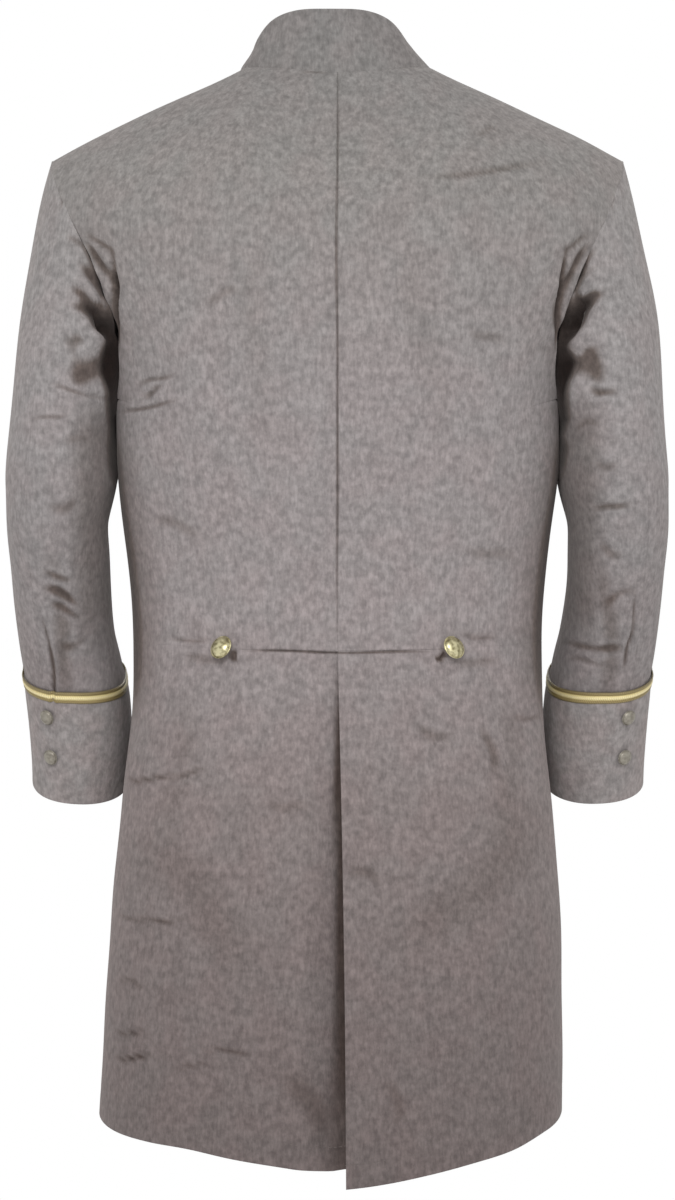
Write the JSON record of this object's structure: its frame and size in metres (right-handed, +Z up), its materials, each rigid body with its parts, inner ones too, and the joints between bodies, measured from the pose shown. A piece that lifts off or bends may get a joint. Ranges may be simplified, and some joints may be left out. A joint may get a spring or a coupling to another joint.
{
  "type": "frock coat",
  "caption": "Hollow knee-length wool frock coat, stand collar, waist seam, lapped back vent, braided cuffs, domed buttons.",
  "frame": {"origin": "middle of the neck, level with the tops of the shoulder seams, where the wearer's shoulders carry the coat", "axes": "+Z up along the coat's length; the wearer faces +Y, so the back of the coat faces -Y; +X is the wearer's right"},
  "size_m": [0.6076, 0.3362, 1.0397],
  "materials": {
    "coat_cloth": "heathered milled wool, matt with a slight nap",
    "cuff_cloth": "heathered milled wool, a little cooler",
    "gilt_braid": "flat woven braid in gilt thread",
    "stamped_brass": "stamped and gilt, softly worn"
  },
  "bodies": {
    "root": {"back_left": "coat_cloth", "back_right": "coat_cloth", "button_cuff_left_1": "stamped_brass", "button_cuff_left_2": "stamped_brass", "button_cuff_right_1": "stamped_brass", "button_cuff_right_2": "stamped_brass", "button_front_1": "stamped_brass", "button_front_2": "stamped_brass", "button_front_3": "stamped_brass", "button_front_4": "stamped_brass", "button_front_5": "stamped_brass", "button_front_6": "stamped_brass", "button_front_7": "stamped_brass", "button_front_8": "stamped_brass", "button_waist_left": "stamped_brass", "button_waist_right": "stamped_brass", "collar": "coat_cloth", "cuff_braid_left": "gilt_braid", "cuff_braid_right": "gilt_braid", "cuff_left": "cuff_cloth", "cuff_right": "cuff_cloth", "front_left": "coat_cloth", "front_right": "coat_cloth", "side_back_left": "coat_cloth", "side_back_right": "coat_cloth", "skirt_left": "coat_cloth", "skirt_right": "coat_cloth", "sleeve_knot_left": "gilt_braid", "sleeve_knot_right": "gilt_braid", "sleeve_top_left": "coat_cloth", "sleeve_top_right": "coat_cloth", "sleeve_under_left": "coat_cloth", "sleeve_under_right": "coat_cloth"}
  },
  "joints": []
}
